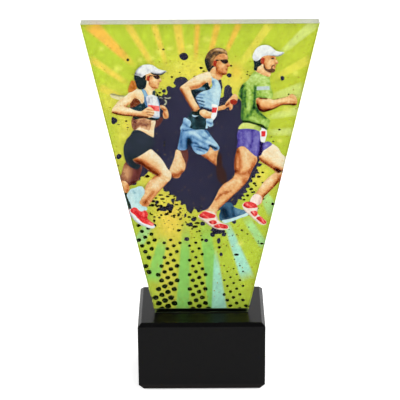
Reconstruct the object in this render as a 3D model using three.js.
// Award: a trapezoid of clear plate glass, printed in reverse on its back face, standing on a black
// glass block. Millimetres, +Z up, the front of the award faces -Y. The origin is on the surface that
// the award stands on, in the middle of the block.
import * as THREE from 'three';

// Driving dimensions: the block.
const BLOCK_WIDTH = 80;
const BLOCK_DEPTH = 60;
const BLOCK_HEIGHT = 46.5;
const TOP_CHAMFER = 2.3;          // 45 degrees, all round the top
const BOTTOM_CHAMFER_WIDTH = 3.1; // all round the bottom, a little steeper than 45 degrees
const BOTTOM_CHAMFER_HEIGHT = 4.2;

// Driving dimensions: the glass plate.
const GLASS_THICKNESS = 10;
const GLASS_HEIGHT = 188.5;
const GLASS_TOP_WIDTH = 142.6;
const GLASS_FOOT_WIDTH = 58.8;
const GLASS_ARRIS = 0.25;         // fine bevel round the front and the back face
const GLASS_SETBACK = 17;         // from the block's front face to the plate's front face

// Driving dimensions: the thin layers.
const GLUE_THICKNESS = 0.25;
const GLUE_MARGIN = 1;            // the glue stops short of the plate's edges
const INK_THICKNESS = 0.25;
const INK_MARGIN = 0.25;          // the print fills the flat of the back face, up to its arris
const WHITE_THICKNESS = 0.25;
const WHITE_CHOKE = 0.25;         // the white coat stops just inside the ink that it covers

// Driving dimensions: the feet.
const FOOT_RADIUS = 5;
const FOOT_HEIGHT = 1.5;
const FOOT_ROUNDING = 0.5;
const FOOT_INSET = 12;            // from the block's sides to the middle of a foot
const ROUND_SIDES = 48;
const ROUNDING_STEPS = 4;

// Heights and depths that follow.
const blockTop = FOOT_HEIGHT + BLOCK_HEIGHT;
const glassBottom = blockTop + GLUE_THICKNESS;
const glassFront = -BLOCK_DEPTH / 2 + GLASS_SETBACK;
const glassBack = glassFront + GLASS_THICKNESS;

const materials = {
  blackGlass: new THREE.MeshStandardMaterial({ color: '#17171a', roughness: 0.08, metalness: 0 }),
  clearGlass: new THREE.MeshStandardMaterial({
    color: '#eef6f2', roughness: 0.02, metalness: 0, transparent: true, opacity: 0.35,
  }),
  ink: new THREE.MeshStandardMaterial({ color: '#b7cc45', roughness: 0.5, metalness: 0 }),
  whiteCoat: new THREE.MeshStandardMaterial({ color: '#f0f0ec', roughness: 0.6, metalness: 0 }),
  glue: new THREE.MeshStandardMaterial({ color: '#101410', roughness: 0.2, metalness: 0 }),
  rubber: new THREE.MeshStandardMaterial({ color: '#1c1c1c', roughness: 0.85, metalness: 0 }),
};

// The block: a rectangular body that draws in over its bottom chamfer and its top chamfer.
function blockGeometry() {
  const levels = [
    { height: 0, inset: BOTTOM_CHAMFER_WIDTH },
    { height: BOTTOM_CHAMFER_HEIGHT, inset: 0 },
    { height: BLOCK_HEIGHT - TOP_CHAMFER, inset: 0 },
    { height: BLOCK_HEIGHT, inset: TOP_CHAMFER },
  ];
  const cornerSigns = [[-1, -1], [1, -1], [1, 1], [-1, 1]];
  const corners = cornerSigns.length;
  const positions = [];
  for (const { height, inset } of levels) {
    for (const [signX, signY] of cornerSigns) {
      positions.push(signX * (BLOCK_WIDTH / 2 - inset), signY * (BLOCK_DEPTH / 2 - inset), height);
    }
  }
  const triangles = [0, 2, 1, 0, 3, 2];
  for (let level = 0; level < levels.length - 1; level += 1) {
    for (let corner = 0; corner < corners; corner += 1) {
      const low = level * corners + corner;
      const lowNext = level * corners + ((corner + 1) % corners);
      triangles.push(low, lowNext, lowNext + corners, low, lowNext + corners, low + corners);
    }
  }
  const top = (levels.length - 1) * corners;
  triangles.push(top, top + 1, top + 2, top, top + 2, top + 3);
  const geometry = new THREE.BufferGeometry();
  geometry.setAttribute('position', new THREE.Float32BufferAttribute(positions, 3));
  geometry.setIndex(triangles);
  return geometry;
}

// The plate's trapezoid, its foot on the line y = 0, drawn in by a margin on all four sides.
function plateOutline(margin) {
  const slope = (GLASS_TOP_WIDTH - GLASS_FOOT_WIDTH) / 2 / GLASS_HEIGHT;
  const sideMargin = margin * Math.hypot(1, slope);
  const low = margin;
  const high = GLASS_HEIGHT - margin;
  const halfWidth = (height) => GLASS_FOOT_WIDTH / 2 + slope * height - sideMargin;
  return new THREE.Shape([
    new THREE.Vector2(-halfWidth(low), low),
    new THREE.Vector2(halfWidth(low), low),
    new THREE.Vector2(halfWidth(high), high),
    new THREE.Vector2(-halfWidth(high), high),
  ]);
}

// A prism of an outline whose two ends are bevelled inside its length and its outline.
function bevelledPrism(outline, length, bevel) {
  const geometry = new THREE.ExtrudeGeometry(outline, {
    depth: length - 2 * bevel,
    bevelEnabled: true,
    bevelThickness: bevel,
    bevelSize: bevel,
    bevelOffset: -bevel,
    bevelSegments: 1,
  });
  geometry.translate(0, 0, bevel);
  return geometry;
}

function plainPrism(outline, length) {
  return new THREE.ExtrudeGeometry(outline, { depth: length, bevelEnabled: false });
}

// A disc on the ground plane whose lower rim is rounded.
function footGeometry() {
  const profile = [new THREE.Vector2(0, 0)];
  for (let step = 0; step <= ROUNDING_STEPS; step += 1) {
    const angle = (Math.PI / 2) * (step / ROUNDING_STEPS);
    profile.push(new THREE.Vector2(
      FOOT_RADIUS - FOOT_ROUNDING + FOOT_ROUNDING * Math.sin(angle),
      FOOT_ROUNDING - FOOT_ROUNDING * Math.cos(angle),
    ));
  }
  profile.push(new THREE.Vector2(FOOT_RADIUS, FOOT_HEIGHT));
  profile.push(new THREE.Vector2(0, FOOT_HEIGHT));
  return new THREE.LatheGeometry(profile, ROUND_SIDES);
}

function namedMesh(name, geometry, material) {
  const mesh = new THREE.Mesh(geometry, material);
  mesh.name = name;
  return mesh;
}

// Stands a prism that was drawn flat upright, its first end at the depth where the layer ends.
function standUpright(mesh, backDepth) {
  mesh.rotation.x = Math.PI / 2;
  mesh.position.set(0, backDepth, glassBottom);
  return mesh;
}

function baseBlock() {
  const mesh = namedMesh('base_block', blockGeometry(), materials.blackGlass);
  mesh.position.z = FOOT_HEIGHT;
  return mesh;
}

function glassPlate() {
  const geometry = bevelledPrism(plateOutline(0), GLASS_THICKNESS, GLASS_ARRIS);
  return standUpright(namedMesh('glass_plate', geometry, materials.clearGlass), glassBack);
}

function printLayer() {
  const geometry = plainPrism(plateOutline(INK_MARGIN), INK_THICKNESS);
  return standUpright(namedMesh('artwork_print', geometry, materials.ink), glassBack + INK_THICKNESS);
}

function whiteLayer() {
  const geometry = plainPrism(plateOutline(INK_MARGIN + WHITE_CHOKE), WHITE_THICKNESS);
  const backDepth = glassBack + INK_THICKNESS + WHITE_THICKNESS;
  return standUpright(namedMesh('white_coat', geometry, materials.whiteCoat), backDepth);
}

// The cured glue between the plate's foot and the block's top.
function glueBed() {
  const width = GLASS_FOOT_WIDTH - 2 * GLUE_MARGIN;
  const depth = GLASS_THICKNESS - 2 * GLUE_MARGIN;
  const mesh = namedMesh('glue_bed', new THREE.BoxGeometry(width, depth, GLUE_THICKNESS), materials.glue);
  mesh.position.set(0, (glassFront + glassBack) / 2, blockTop + GLUE_THICKNESS / 2);
  return mesh;
}

// Four bumper feet stuck under the block, one near each corner.
function bumperFeet() {
  const feet = new THREE.Group();
  const places = [['front', -1], ['back', 1]];
  const sides = [['left', -1], ['right', 1]];
  for (const [placeName, placeSign] of places) {
    for (const [sideName, sideSign] of sides) {
      const foot = namedMesh(`foot_${placeName}_${sideName}`, footGeometry(), materials.rubber);
      foot.rotation.x = Math.PI / 2;
      foot.position.set(
        sideSign * (BLOCK_WIDTH / 2 - FOOT_INSET),
        placeSign * (BLOCK_DEPTH / 2 - FOOT_INSET),
        0,
      );
      feet.add(foot);
    }
  }
  return feet;
}

const award = new THREE.Group();
award.add(baseBlock());
award.add(glassPlate());
award.add(printLayer());
award.add(whiteLayer());
award.add(glueBed());
award.add(bumperFeet());

export default award;
